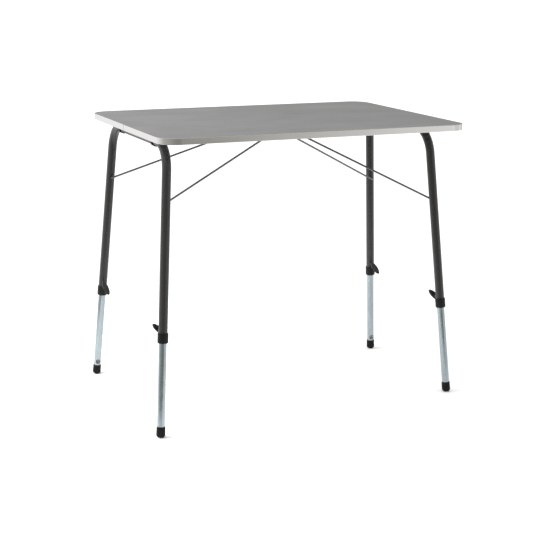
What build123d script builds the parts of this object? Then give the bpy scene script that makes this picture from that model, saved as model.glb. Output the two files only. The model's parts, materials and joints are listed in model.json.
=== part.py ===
"""Folding camping table: laminate top, two nesting U-shaped leg frames with telescopic legs, wire stays.

Millimetres. +X runs along the length, +Y to the back, +Z up. The origin is on the floor under the
middle of the top, and the legs stand as they do in use, extended and braced.
"""
import os
from math import acos, cos, radians, sin

from build123d import *

# Top
TOP_LENGTH = 800.0
TOP_WIDTH = 600.0
TOP_HEIGHT = 715.5
CORNER_RADIUS = 48.0
BOARD_THICKNESS = 12.0

# Edge profile: a face strip with a tongue pressed into the board's groove
PROFILE_HEIGHT = 15.0
PROFILE_THICKNESS = 2.0
PROFILE_RIM = 1.0
PROFILE_ROUND = 0.8
TONGUE_THICKNESS = 2.0
TONGUE_DEPTH = 7.0
SEAM_WIDTH = 0.6

# Leg frames, bent from round tube
TUBE_DIAMETER = 22.0
TUBE_WALL = 1.2
BEND_RADIUS = 66.0
BAR_INSET = 40.0
FOOT_SPLAY = 46.0
BAR_GAP = 1.5
LEG_AT_BAR = {"left": 216.0, "right": 166.5}
LEG_AT_FLOOR = {"left": 278.6, "right": 221.1}

# Pivot clips, straps screwed to the underside over each frame's top bar
CLIP_AT = {"left": 132.0, "right": 88.0}
CLIP_WIDTH = 14.0
CLIP_THICKNESS = 2.2
CLIP_FLANGE = 15.0

# Telescopic lower legs, measured along the leg from the foot
INNER_DIAMETER = 19.0
INNER_WALL = 1.0
INNER_LENGTH = 296.0
LEG_HOLE_DIAMETER = 14.0
LEG_HOLE_AT = 36.5

# Feet
FOOT_DIAMETER = 22.0
FOOT_HEIGHT = 26.2
FOOT_ROUND = 7.0
FOOT_FLOOR = 6.0

# Collars on the lower ends of the frame tubes
COLLAR_DIAMETER = 26.0
COLLAR_HEIGHT = 24.8
COLLAR_AT = 227.0
COLLAR_LIP = 5.0
COLLAR_ROUND = 3.0
COLLAR_TOP_ROUND = 0.8
BOSS_DIAMETER = 14.0
BOSS_LENGTH = 5.5

# Clamp screws, their inserts and wing knobs
CLAMP_AT = 255.0
SCREW_DIAMETER = 6.0
SCREW_HEAD_FLATS = 10.0
SCREW_HEAD_HEIGHT = 4.0
INSERT_DIAMETER = 10.0
INSERT_LENGTH = 5.0
KNOB_LENGTH = 42.0
KNOB_WIDTH = 14.0
KNOB_THICKNESS = 7.0
KNOB_ROUNDING = 0.65
KNOB_AT = 30.0
KNOB_HUB_DIAMETER = 11.0
KNOB_HUB_LENGTH = 3.0
KNOB_TILT = {"left_front": -49.0, "left_back": 27.0, "right_front": -41.0, "right_back": 32.0}

# Wire stays, from holes in the legs to a cross bar under the middle of the top
WIRE_DIAMETER = 5.0
STAY_HOLE_HEIGHT = {"left": 550.0, "right": 509.0}
STAY_STANDOFF = 5.0
STAY_PIN_REACH = 5.0
STAY_BAR_HALF = {"left": 62.5, "right": 68.5}
STAY_BAR_OFFSET = 16.0
STAY_BAR_DROP = 9.5
STAY_END_BEND = 6.0
STAY_BAR_BEND = 15.0

# Stay catches, hooks moulded on a strip
CATCH_LENGTH = 112.0
CATCH_WIDTH = 16.0
CATCH_BASE = 2.5
CATCH_SCREW_AT = 49.0
HOOK_WIDTH = 12.0
HOOK_AT = 26.0
HOOK_WALL = 2.2
HOOK_LIP_ANGLE = 65.0

# Screws into the underside
WOOD_SCREW_DIAMETER = 4.0
WOOD_SCREW_DEPTH = 8.0
WOOD_SCREW_HEAD = 7.5
WOOD_SCREW_HEAD_HEIGHT = 2.4

# Clearances on the radius or face: parts fixed together, turning fits, and sliding or loose fits
FIXED_FIT = 0.05
TURNING_FIT = 0.08
SLIDING_FIT = 0.3

SIDES = {"left": -1, "right": 1}
ENDS = {"front": -1, "back": 1}

UNDERSIDE = TOP_HEIGHT - PROFILE_RIM - BOARD_THICKNESS
BAR_OFFSET = TOP_LENGTH / 2 - BAR_INSET
FOOT_OFFSET = BAR_OFFSET + FOOT_SPLAY
TUBE_RADIUS = TUBE_DIAMETER / 2
INNER_RADIUS = INNER_DIAMETER / 2
BAR_HEIGHT = UNDERSIDE - BAR_GAP - TUBE_RADIUS
STAY_BAR_HEIGHT = UNDERSIDE - STAY_BAR_DROP
CLIP_RADIUS = TUBE_RADIUS + SLIDING_FIT + CLIP_THICKNESS
CLIP_SCREW_AT = CLIP_RADIUS + CLIP_FLANGE / 2
SCREW_TIP = INNER_RADIUS + SLIDING_FIT
BOSS_END = TUBE_RADIUS + BOSS_LENGTH
HEAD_BACK = KNOB_AT - SCREW_HEAD_HEIGHT / 2
KNOB_BACK = KNOB_AT - KNOB_THICKNESS / 2
KNOB_TIP_RADIUS = KNOB_WIDTH**2 / (2 * KNOB_LENGTH)


class Leg:
    """One leg's axis: where it meets the floor, the bar's line and its own frame, foot end up."""

    def __init__(self, side, end):
        self.name = f"{side}_{end}"
        self.corner = Vector(SIDES[side] * BAR_OFFSET, ENDS[end] * LEG_AT_BAR[side], BAR_HEIGHT)
        on_floor = Vector(SIDES[side] * FOOT_OFFSET, ENDS[end] * LEG_AT_FLOOR[side], 0)
        self.up = (self.corner - on_floor).normalized()
        lean = acos(self.up.Z)
        flat_radius = FOOT_DIAMETER / 2 - FOOT_ROUND
        lift = FOOT_ROUND * (1 - cos(lean)) + flat_radius * sin(lean)
        self.base = on_floor + self.up * (lift / self.up.Z)
        inward = Vector(0, -ENDS[end], 0)
        inward = (inward - self.up * inward.dot(self.up)).normalized()
        self.plane = Plane(origin=self.base, x_dir=inward, z_dir=self.up)

    def along(self, distance):
        """Point on the axis at a distance from the foot's lowest plane."""
        return self.base + self.up * distance

    def at_height(self, height):
        """Point on the axis at a height above the floor."""
        return self.base + self.up * ((height - self.base.Z) / self.up.Z)

    def place(self, shape):
        """Put a shape that was made upright, with +X towards the table's centre line, on this leg."""
        return self.plane.location * shape


LEGS = {side: {end: Leg(side, end) for end in ENDS} for side in SIDES}


def rounded_plate(inset, bottom, height):
    """Plate with the top's outline, drawn in by inset all round."""
    outline = RectangleRounded(TOP_LENGTH - 2 * inset, TOP_WIDTH - 2 * inset, CORNER_RADIUS - inset)
    return Pos(0, 0, bottom) * extrude(outline, height)


def radial(radius, start, stop, height):
    """Round bar along +X between two distances from the leg's axis, at a height on the leg."""
    bar = Plane.YZ * Circle(radius)
    return Pos(start, 0, height) * extrude(bar, stop - start)


def clip_screw_points():
    """Places of the pivot clips' screws on the underside."""
    return [
        (sx * BAR_OFFSET + dx, sy * CLIP_AT[side], UNDERSIDE)
        for side, sx in SIDES.items()
        for sy in ENDS.values()
        for dx in (-CLIP_SCREW_AT, CLIP_SCREW_AT)
    ]


def catch_screw_points():
    """Places of the stay catches' screws on the underside."""
    return [
        (sx * STAY_BAR_OFFSET, sy * CATCH_SCREW_AT, UNDERSIDE)
        for sx in SIDES.values()
        for sy in ENDS.values()
    ]


def tabletop_board():
    """Board with a groove round its edge and pilot holes for the screws below."""
    inset = PROFILE_THICKNESS + FIXED_FIT
    board = rounded_plate(inset, UNDERSIDE, BOARD_THICKNESS)
    groove_height = TONGUE_THICKNESS + 2 * FIXED_FIT
    groove_bottom = UNDERSIDE + (BOARD_THICKNESS - groove_height) / 2
    core_inset = PROFILE_THICKNESS + TONGUE_DEPTH + FIXED_FIT
    groove = rounded_plate(0, groove_bottom, groove_height)
    groove -= rounded_plate(core_inset, groove_bottom, groove_height)
    board -= groove
    pilot = Cylinder(
        WOOD_SCREW_DIAMETER / 2 + FIXED_FIT,
        WOOD_SCREW_DEPTH + FIXED_FIT,
        align=(Align.CENTER, Align.CENTER, Align.MIN),
    )
    for point in clip_screw_points() + catch_screw_points():
        board -= Pos(*point) * pilot
    return board


def edge_profile():
    """Face strip with rounded edges and an inward tongue, butted once on the left short side."""
    bottom = TOP_HEIGHT - PROFILE_HEIGHT
    strip = rounded_plate(0, bottom, PROFILE_HEIGHT)
    rims = strip.edges().filter_by(GeomType.LINE).filter_by(Plane.XY)
    arcs = strip.edges().filter_by(GeomType.CIRCLE)
    strip = fillet(rims + arcs, PROFILE_ROUND)
    strip -= rounded_plate(PROFILE_THICKNESS, bottom, PROFILE_HEIGHT)
    tongue_bottom = UNDERSIDE + (BOARD_THICKNESS - TONGUE_THICKNESS) / 2
    tongue = rounded_plate(PROFILE_THICKNESS / 2, tongue_bottom, TONGUE_THICKNESS)
    tongue -= rounded_plate(PROFILE_THICKNESS + TONGUE_DEPTH, tongue_bottom, TONGUE_THICKNESS)
    seam_length = 2 * (PROFILE_THICKNESS + TONGUE_DEPTH)
    seam = Pos(-TOP_LENGTH / 2, 0, bottom) * Box(
        2 * seam_length, SEAM_WIDTH, PROFILE_HEIGHT, align=(Align.CENTER, Align.CENTER, Align.MIN)
    )
    return strip + tongue - seam


def pivot_clip(side, end):
    """Strap round the underside of a top bar, with a screw flange on each side."""
    drop = UNDERSIDE - BAR_HEIGHT
    bore = CLIP_RADIUS - CLIP_THICKNESS
    width = 2 * (CLIP_RADIUS + CLIP_FLANGE)
    upright = Pos(0, drop / 2) * Rectangle(2 * CLIP_RADIUS, drop)
    flange = Pos(0, drop - CLIP_THICKNESS / 2) * RectangleRounded(width, CLIP_THICKNESS, CLIP_THICKNESS / 3)
    opening = Pos(0, drop) * Rectangle(2 * bore, 2 * drop)
    section = Circle(CLIP_RADIUS) + upright + flange - Circle(bore) - opening
    strap = extrude(Plane.XZ * section, CLIP_WIDTH / 2, both=True)
    hole = Cylinder(WOOD_SCREW_DIAMETER / 2 + FIXED_FIT, 2 * drop)
    for dx in (-CLIP_SCREW_AT, CLIP_SCREW_AT):
        strap -= Pos(dx, 0, drop) * hole
    return Pos(SIDES[side] * BAR_OFFSET, ENDS[end] * CLIP_AT[side], BAR_HEIGHT) * strap


def wood_screw(seat):
    """Round-headed screw, pointing up into the underside, with its head under a plate of thickness seat."""
    shank = Cylinder(
        WOOD_SCREW_DIAMETER / 2,
        seat + WOOD_SCREW_DEPTH,
        align=(Align.CENTER, Align.CENTER, Align.MIN),
    )
    head = Cylinder(
        WOOD_SCREW_HEAD / 2,
        WOOD_SCREW_HEAD_HEIGHT,
        align=(Align.CENTER, Align.CENTER, Align.MAX),
    )
    rim = head.edges().filter_by(GeomType.CIRCLE).sort_by(Axis.Z)[0]
    head = fillet(rim, WOOD_SCREW_HEAD_HEIGHT / 2)
    return Pos(0, 0, -seat) * (shank + head)


def screw_group(points, seat):
    """Like screws as one group of separate solids."""
    screw = wood_screw(seat)
    return Compound([Pos(*point) * screw for point in points])


def stay_catch(side):
    """Strip under the top with two hooks, open towards the middle, that hold a stay's cross bar."""
    sx = SIDES[side]
    bore = WIRE_DIAMETER / 2 + SLIDING_FIT
    outside = bore + HOOK_WALL
    reach = 2 * outside
    lip = radians(HOOK_LIP_ANGLE)
    ring = Circle(outside)
    post = Pos(-outside / 2, STAY_BAR_DROP / 2) * Rectangle(outside, STAY_BAR_DROP)
    mouth = make_face(
        Polyline(
            (0, 0),
            (-reach * cos(lip), -reach * sin(lip)),
            (reach, -reach),
            (reach, STAY_BAR_DROP),
            (0, STAY_BAR_DROP),
            close=True,
        )
    )
    section = ring + post - Circle(bore) - mouth
    hook = extrude(Plane.XZ * section, HOOK_WIDTH / 2, both=True)
    strip = Pos(0, 0, STAY_BAR_DROP) * Box(
        CATCH_WIDTH, CATCH_LENGTH, CATCH_BASE, align=(Align.CENTER, Align.CENTER, Align.MAX)
    )
    strip = fillet(strip.edges().filter_by(Axis.Z), CATCH_WIDTH / 4)
    catch = strip
    for sy in ENDS.values():
        catch += Pos(0, sy * HOOK_AT, 0) * hook
        hole = Cylinder(WOOD_SCREW_DIAMETER / 2 + FIXED_FIT, 4 * CATCH_BASE)
        catch -= Pos(0, sy * CATCH_SCREW_AT, STAY_BAR_DROP) * hole
    if sx > 0:
        catch = mirror(catch, about=Plane.YZ)
    return Pos(sx * STAY_BAR_OFFSET, 0, STAY_BAR_HEIGHT) * catch


def leg_frame(side):
    """U of bent tube, drilled in its inner faces for the stay and the clamp screws."""
    front = LEGS[side]["front"]
    back = LEGS[side]["back"]
    tube_end = COLLAR_AT + COLLAR_LIP + FIXED_FIT
    path = FilletPolyline(
        front.along(tube_end), front.corner, back.corner, back.along(tube_end), radius=BEND_RADIUS
    )
    start = Plane(origin=path @ 0, z_dir=path % 0)
    section = start * (Circle(TUBE_RADIUS) - Circle(TUBE_RADIUS - TUBE_WALL))
    frame = sweep(section, path=path)
    for end, leg in LEGS[side].items():
        frame -= leg.place(radial(SCREW_DIAMETER / 2 + SLIDING_FIT, 0, 2 * TUBE_RADIUS, CLAMP_AT))
        hole = Plane.XZ * Circle(WIRE_DIAMETER / 2 + TURNING_FIT)
        frame -= Pos(leg.at_height(STAY_HOLE_HEIGHT[side])) * extrude(hole, ENDS[end] * 2 * TUBE_RADIUS)
    return frame


def stay_corner(side, end):
    """Point where a stay's end pin turns into its arm, just inside the leg."""
    on_leg = LEGS[side][end].at_height(STAY_HOLE_HEIGHT[side])
    return on_leg - Vector(0, ENDS[end] * (TUBE_RADIUS + STAY_STANDOFF), 0)


def stay(side):
    """Trapezoid of round wire: pins in the legs, converging arms and a cross bar under the top."""
    pins = {
        end: LEGS[side][end].at_height(STAY_HOLE_HEIGHT[side]) - Vector(0, sy * STAY_PIN_REACH, 0)
        for end, sy in ENDS.items()
    }
    bar_x = SIDES[side] * STAY_BAR_OFFSET
    bars = {end: Vector(bar_x, sy * STAY_BAR_HALF[side], STAY_BAR_HEIGHT) for end, sy in ENDS.items()}
    path = FilletPolyline(
        pins["front"],
        stay_corner(side, "front"),
        bars["front"],
        bars["back"],
        stay_corner(side, "back"),
        pins["back"],
        radius=[STAY_END_BEND, STAY_BAR_BEND, STAY_BAR_BEND, STAY_END_BEND],
    )
    section = Plane(origin=path @ 0, z_dir=path % 0) * Circle(WIRE_DIAMETER / 2)
    return sweep(section, path=path)


def collar():
    """Ring over the tube's end with a lip that guides the inner leg, and a boss for the clamp screw."""
    outer = COLLAR_DIAMETER / 2
    over_tube = TUBE_RADIUS + FIXED_FIT
    over_leg = INNER_RADIUS + SLIDING_FIT
    top = COLLAR_AT + COLLAR_HEIGHT
    ring = Pos(0, 0, COLLAR_AT) * Cylinder(
        outer, COLLAR_HEIGHT, align=(Align.CENTER, Align.CENTER, Align.MIN)
    )
    rims = ring.edges().filter_by(GeomType.CIRCLE).sort_by(Axis.Z)
    ring = fillet(rims[0], COLLAR_ROUND)
    rims = ring.edges().filter_by(GeomType.CIRCLE).sort_by(Axis.Z)
    ring = fillet(rims[-1], COLLAR_TOP_ROUND)
    ring += radial(BOSS_DIAMETER / 2, 0, BOSS_END, CLAMP_AT)
    bore_top = max(top, CLAMP_AT + BOSS_DIAMETER) - COLLAR_AT
    lip = COLLAR_AT + COLLAR_LIP
    ring -= Pos(0, 0, lip) * Cylinder(over_tube, bore_top, align=(Align.CENTER, Align.CENTER, Align.MIN))
    ring -= Pos(0, 0, lip) * Cylinder(over_leg, 4 * COLLAR_LIP)
    return ring - radial(INSERT_DIAMETER / 2 + FIXED_FIT, 0, 2 * BOSS_END, CLAMP_AT)


def clamp_insert():
    """Threaded sleeve in the collar's boss."""
    sleeve = radial(INSERT_DIAMETER / 2, BOSS_END - INSERT_LENGTH, BOSS_END, CLAMP_AT)
    return sleeve - radial(SCREW_DIAMETER / 2 + TURNING_FIT, 0, 2 * BOSS_END, CLAMP_AT)


def clamp_screw():
    """Screw with a hexagon head, its tip against the inner leg and its head moulded into the knob."""
    shank = radial(SCREW_DIAMETER / 2, SCREW_TIP, HEAD_BACK, CLAMP_AT)
    tip = shank.edges().filter_by(GeomType.CIRCLE).sort_by(Axis.X)[0]
    shank = chamfer(tip, SCREW_DIAMETER / 8)
    return shank + screw_head(0)


def screw_head(clearance):
    """Hexagon head in the middle of the knob's thickness, or its pocket with a clearance all round."""
    flats = Plane.YZ * RegularPolygon(SCREW_HEAD_FLATS / 2 + clearance, 6, major_radius=False)
    head = extrude(flats, SCREW_HEAD_HEIGHT + 2 * clearance)
    return Pos(HEAD_BACK - clearance, 0, CLAMP_AT) * head


def wing_knob(tilt):
    """Oval plate with rounded edges and a hub, turned about the screw by its tilt from upright."""
    edge_round = KNOB_ROUNDING * KNOB_TIP_RADIUS
    bar = extrude(Plane.YZ * Ellipse(KNOB_WIDTH / 2, KNOB_LENGTH / 2), KNOB_THICKNESS)
    bar = fillet(bar.faces().sort_by(Axis.X)[-1].edges(), edge_round)
    bar = fillet(bar.faces().sort_by(Axis.X)[0].edges(), edge_round)
    bar = Rot(X=tilt) * bar
    knob = Pos(KNOB_BACK, 0, CLAMP_AT) * bar
    knob += radial(KNOB_HUB_DIAMETER / 2, KNOB_BACK - KNOB_HUB_LENGTH, KNOB_AT, CLAMP_AT)
    knob -= radial(SCREW_DIAMETER / 2 + FIXED_FIT, 0, KNOB_AT, CLAMP_AT)
    return knob - screw_head(FIXED_FIT)


def inner_leg():
    """Telescopic tube, seated in the foot, with a round hole in its inner face."""
    tube = Circle(INNER_RADIUS) - Circle(INNER_RADIUS - INNER_WALL)
    leg = Pos(0, 0, FOOT_FLOOR + FIXED_FIT) * extrude(tube, INNER_LENGTH)
    return leg - radial(LEG_HOLE_DIAMETER / 2, 0, INNER_DIAMETER, LEG_HOLE_AT)


def foot():
    """Domed cap over the end of the inner leg."""
    cap = Cylinder(FOOT_DIAMETER / 2, FOOT_HEIGHT, align=(Align.CENTER, Align.CENTER, Align.MIN))
    rim = cap.edges().filter_by(GeomType.CIRCLE).sort_by(Axis.Z)[0]
    cap = fillet(rim, FOOT_ROUND)
    socket = Cylinder(INNER_RADIUS + FIXED_FIT, FOOT_HEIGHT, align=(Align.CENTER, Align.CENTER, Align.MIN))
    return cap - Pos(0, 0, FOOT_FLOOR) * socket


def build():
    """Every piece by name."""
    nodes = {
        "tabletop_board": tabletop_board(),
        "edge_profile": edge_profile(),
        "pivot_clip_screws": screw_group(clip_screw_points(), CLIP_THICKNESS),
        "stay_catch_screws": screw_group(catch_screw_points(), CATCH_BASE),
    }
    leg_pieces = {
        "collar": collar(),
        "clamp_insert": clamp_insert(),
        "clamp_screw": clamp_screw(),
        "inner_leg": inner_leg(),
        "foot": foot(),
    }
    for side in SIDES:
        nodes[f"{side}_leg_frame"] = leg_frame(side)
        nodes[f"{side}_stay"] = stay(side)
        nodes[f"{side}_stay_catch"] = stay_catch(side)
        for end, leg in LEGS[side].items():
            nodes[f"{leg.name}_pivot_clip"] = pivot_clip(side, end)
            nodes[f"{leg.name}_wing_knob"] = leg.place(wing_knob(KNOB_TILT[leg.name]))
            for piece, shape in leg_pieces.items():
                nodes[f"{leg.name}_{piece}"] = leg.place(shape)
    return nodes


os.makedirs("parts", exist_ok=True)
for node, shape in build().items():
    export_step(shape, f"parts/{node}.step")
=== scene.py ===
"""Looks of a folding camping table: laminate top, tube legs, wire stays and clamped telescopic feet.

Laid out as an add-on, with one operator for each group of pieces. Metres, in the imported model's frame:
+X along the top, +Y to the back, +Z up, with the floor at zero.
"""
import json
from math import ceil, pi, radians, sin, tan

import bpy
import numpy as np
from bpy.props import FloatProperty, FloatVectorProperty, PointerProperty
from mathutils import Matrix, Vector


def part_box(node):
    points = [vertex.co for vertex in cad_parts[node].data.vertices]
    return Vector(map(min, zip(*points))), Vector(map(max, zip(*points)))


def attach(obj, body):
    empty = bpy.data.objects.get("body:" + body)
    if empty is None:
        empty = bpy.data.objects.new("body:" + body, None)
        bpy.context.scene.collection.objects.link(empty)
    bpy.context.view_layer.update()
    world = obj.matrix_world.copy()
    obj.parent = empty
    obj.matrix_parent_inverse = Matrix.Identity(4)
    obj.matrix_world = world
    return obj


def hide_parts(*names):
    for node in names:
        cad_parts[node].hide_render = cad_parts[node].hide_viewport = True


bl_info = {
    "name": "Camping table looks",
    "version": (1, 0, 0),
    "blender": (4, 5, 0),
    "location": "View3D > Sidebar > Table",
    "description": "Dresses a folding camping table with its finished surfaces and materials",
    "category": "Object",
}

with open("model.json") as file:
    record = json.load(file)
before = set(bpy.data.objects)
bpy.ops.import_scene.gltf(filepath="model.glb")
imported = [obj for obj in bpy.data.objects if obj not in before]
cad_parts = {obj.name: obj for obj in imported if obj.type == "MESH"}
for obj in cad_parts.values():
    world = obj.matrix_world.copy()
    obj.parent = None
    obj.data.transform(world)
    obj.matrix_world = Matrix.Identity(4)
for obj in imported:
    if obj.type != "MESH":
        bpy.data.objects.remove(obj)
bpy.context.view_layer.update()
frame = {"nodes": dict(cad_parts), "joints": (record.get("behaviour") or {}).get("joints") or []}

JOINTS = {joint["name"]: joint for joint in frame["joints"]}
SIDES = {"left": -1, "right": 1}
ENDS = {"front": -1, "back": 1}
LEGS = [f"{side}_{end}" for side in SIDES for end in ENDS]
BACK = np.array([0.0, 1.0, 0.0])
UP = np.array([0.0, 0.0, 1.0])

# Largest steps along bends and rounds.
BEND_STEP = radians(3)
WIRE_STEP = radians(5)
STRAP_STEP = radians(6)
DOME_STEP = radians(7)
ROUND_STEP = radians(11)

# Sides of swept and turned shapes, and rows along them.
FRAME_SIDES = 48
LEG_SIDES = 64
COLLAR_SIDES = 72
BOSS_SIDES = 56
HUB_SIDES = 48
BORE_SIDES = 48
PIN_SIDES = 32
WIRE_SIDES = 24
PILOT_SIDES = 24
SCREW_SIDES = 64
THREAD_SIDES = 48
OVAL_SIDES = 120
FLOOR_SIDES = 96
STRIP_ROWS = 33
DOME_ROWS = 26
THREAD_ROWS = 10

# What a size is divided by for its small round, chamfer or tip.
FOOT_RIM_PART = 2.5
FOOT_HUB_PART = 40
SHANK_TIP_PART = 8
HEAD_CHAMFER_PART = 10
WIRE_CHAMFER_PART = 4
HUB_RIM_PART = 3


def length(name, description, default):
    """A size in metres that a user may change."""
    return FloatProperty(name=name, description=description, default=default, min=0, unit="LENGTH")


def colour(name, description, default):
    """A finish's colour that a user may change."""
    return FloatVectorProperty(
        name=name, description=description, default=default, min=0, max=1, size=3, subtype="COLOR"
    )


class TableSizes(bpy.types.PropertyGroup):
    """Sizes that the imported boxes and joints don't give by themselves."""

    corner_radius: length("Corner radius", "Radius of the top's corners", 0.048)
    strip_thickness: length("Strip thickness", "Thickness of the edge strip at its middle", 0.002)
    tongue_depth: length("Tongue depth", "How far the strip's tongue reaches into the board", 0.007)
    tongue_thickness: length("Tongue thickness", "Thickness of the strip's tongue", 0.002)
    seam_width: length("Seam width", "Gap where the strip's ends meet", 0.0006)
    seam_chamfer: length("Seam chamfer", "Chamfer of the strip's two ends", 0.0009)
    tube_radius: length("Tube radius", "Outside radius of the leg frames", 0.011)
    tube_wall: length("Tube wall", "Wall of the leg frames", 0.0012)
    bend_radius: length("Bend radius", "Bend of the leg frames at the tube's middle", 0.066)
    inner_wall: length("Inner leg wall", "Wall of the telescopic legs", 0.001)
    inner_hole_radius: length("Leg hole radius", "Radius of the hole near each foot", 0.007)
    inner_hole_rise: length("Leg hole height", "Height of that hole's middle above the foot's top", 0.0103)
    strap_width: length("Clip width", "Width of the pivot clips along the bar", 0.014)
    strap_thickness: length("Clip thickness", "Thickness of the pivot clips", 0.0022)
    strap_flange: length("Clip flange", "Flange of a clip beyond its ring", 0.015)
    strap_bend: length("Clip bend", "Inside bend between a clip's ring and flange", 0.0012)
    wire_radius: length("Wire radius", "Radius of the stay wire", 0.0025)
    wire_end_bend: length("Wire end bend", "Bend of a stay at its pins", 0.006)
    wire_bar_bend: length("Wire bar bend", "Bend of a stay at its cross bar", 0.015)
    stay_standoff: length("Stay standoff", "Gap between a leg and its stay's arm", 0.005)
    left_bar_half: length("Left bar half", "Half the length of the left stay's cross bar", 0.0625)
    right_bar_half: length("Right bar half", "Half the length of the right stay's cross bar", 0.0685)
    screw_head_radius: length("Screw head radius", "Head of the wood screws", 0.00375)
    screw_head_height: length("Screw head height", "Height of the wood screws' heads", 0.0024)
    screw_shank_radius: length("Screw shank radius", "Shank of the wood screws", 0.002)
    screw_depth: length("Screw depth", "How far the wood screws go into the board", 0.008)
    catch_base: length("Catch base", "Thickness of the stay catches' strips", 0.0025)
    collar_lip: length("Collar lip", "Height of the lip under the tube's end", 0.005)
    collar_round: length("Collar round", "Round of the collar's lower rim", 0.003)
    collar_top_round: length("Collar top round", "Round of the collar's upper rim", 0.0008)
    boss_radius: length("Boss radius", "Radius of the collar's boss for the clamp screw", 0.007)
    insert_radius: length("Insert radius", "Radius of the threaded sleeve in the boss", 0.005)
    clamp_radius: length("Clamp screw radius", "Outside radius of the clamp screw's thread", 0.003)
    clamp_pitch: length("Clamp screw pitch", "Pitch of the clamp screw's thread", 0.001)
    clamp_head_flats: length("Clamp head flats", "Width of the clamp screw's hexagon head", 0.010)
    clamp_head_height: length("Clamp head height", "Height of the clamp screw's head", 0.004)
    knob_half_length: length("Knob half length", "Half the length of a wing knob", 0.021)
    knob_half_width: length("Knob half width", "Half the width of a wing knob", 0.007)
    knob_thickness: length("Knob thickness", "Thickness of a wing knob's plate", 0.007)
    knob_round: length("Knob round", "Round of a wing knob's edges", 0.0015)
    hub_radius: length("Hub radius", "Radius of a wing knob's hub", 0.0055)
    foot_round: length("Foot round", "Round of a foot's lower edge", 0.007)
    foot_floor: length("Foot floor", "Thickness of a foot under its leg", 0.006)
    foot_taper: length("Foot taper", "How much narrower a foot is at its top", 0.0004)
    fit: length("Fit", "Clearance between pieces fixed together", 0.00005)
    slide_fit: length("Sliding fit", "Clearance between pieces that slide or sit loosely", 0.0003)


class TableColours(bpy.types.PropertyGroup):
    """Colours of the finishes."""

    laminate_light: colour("Laminate light", "Light streaks of the top", (0.190, 0.190, 0.192))
    laminate_dark: colour("Laminate dark", "Dark streaks of the top", (0.140, 0.140, 0.142))
    laminate_under: colour("Laminate underside", "Plain foil below the top", (0.42, 0.41, 0.40))
    strip: colour("Edge strip", "Satin metal of the edge strip", (0.70, 0.695, 0.685))
    enamel: colour("Enamel", "Coat of the leg frames", (0.020, 0.0196, 0.020))
    enamel_grain: colour("Enamel grain", "Lighter grain in the coat", (0.042, 0.0412, 0.0412))
    plastic: colour("Plastic", "Moulded collars and clips", (0.005, 0.005, 0.005))
    knob: colour("Knob plastic", "Moulded wing knobs", (0.016, 0.016, 0.016))
    zinc_light: colour("Zinc light", "Bright parts of the zinc plate", (0.38, 0.44, 0.465))
    zinc_dark: colour("Zinc dark", "Dull parts of the zinc plate", (0.315, 0.37, 0.395))
    # Near-white bore: painted light, so the shaded inside of each leg reads as lit through its hole.
    bore: colour("Tube bore", "Bright inside of the telescopic legs", (0.92, 0.94, 0.95))
    wire: colour("Stay wire", "Plated wire of the stays", (0.12, 0.12, 0.124))
    rubber: colour("Rubber", "Feet", (0.0035, 0.0035, 0.0035))
    brass: colour("Brass", "Threaded sleeves", (0.70, 0.52, 0.25))
    floor: colour("Floor", "Studio floor", (0.96, 0.96, 0.96))


def unit(vector):
    """The vector at length one."""
    return vector / np.linalg.norm(vector)


def leg_axes(leg):
    """A leg's origin on its clamp screw's line, and rows for inward, across and up along the leg."""
    up = np.array(JOINTS[f"{leg}_slide"]["axis"])
    inward = np.array(JOINTS[f"{leg}_clamp_turn"]["axis"])
    return np.array(JOINTS[f"{leg}_clamp_turn"]["pos_m"]), np.stack([inward, np.cross(up, inward), up])


def on_leg(leg, points):
    """Carry points from a leg's own axes to the table's frame."""
    origin, axes = leg_axes(leg)
    return origin + points @ axes


def leg_at_height(leg, height):
    """Point of a leg's axis at a height above the floor."""
    origin, axes = leg_axes(leg)
    return origin + axes[2] * ((height - origin[2]) / axes[2][2])


def node_box(node):
    """Lowest and highest corners of a node's box, as arrays."""
    return [np.array(corner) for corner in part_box(node)]


def node_points(leg, node):
    """A node's points along a leg's own axes."""
    vertices = frame["nodes"][node].data.vertices
    points = np.empty(3 * len(vertices))
    vertices.foreach_get("co", points)
    origin, axes = leg_axes(leg)
    return (points.reshape(-1, 3) - origin) @ axes.T


def node_span(leg, node):
    """Lowest and highest values of a node's points along a leg's own axes."""
    points = node_points(leg, node)
    return points.min(axis=0), points.max(axis=0)


def rounded_line(points, radii, step):
    """Points and directions along straight runs joined by tangent arcs.

    An arc of radius r leaves the run with direction d towards n, square to it, as
    r (sin a d + (1 - cos a) n).
    """
    points = [np.asarray(point, float) for point in points]
    places = [points[0][None]]
    headings = [unit(points[1] - points[0])[None]]
    for before, corner, after, radius in zip(points, points[1:], points[2:], radii):
        start = unit(corner - before)
        stop = unit(after - corner)
        turn = np.arccos(np.clip(start @ stop, -1, 1))
        side = unit(stop - start * (start @ stop))
        angle = np.linspace(0, turn, max(2, ceil(turn / step) + 1))[:, None]
        origin = corner - start * radius * tan(turn / 2)
        places.append(origin + radius * (np.sin(angle) * start + (1 - np.cos(angle)) * side))
        headings.append(np.cos(angle) * start + np.sin(angle) * side)
    places.append(points[-1][None])
    headings.append(unit(points[-1] - points[-2])[None])
    return np.concatenate(places), np.concatenate(headings)


def shouldered(places, headings, reach):
    """Line with one more point near each end, set in from the tip by a reach along its heading."""
    first = places[:1] + reach * headings[:1]
    last = places[-1:] - reach * headings[-1:]
    places = np.concatenate([places[:1], first, places[1:-1], last, places[-1:]])
    return places, np.concatenate([headings[:1], headings, headings[-1:]])


def run_of(points):
    """Length run along a line of points, from nought at its first."""
    return np.concatenate([[0], np.cumsum(np.linalg.norm(np.diff(points, axis=0), axis=1))])


def carried(places, headings, binormal, section):
    """Section (n, b) carried along a flat line: place + n (binormal x heading) + b binormal."""
    normals = np.cross(binormal, headings)
    across = section[..., 0, None] * normals[:, None, :]
    beside = section[..., 1, None] * binormal
    return places[:, None, :] + across + beside


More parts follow.
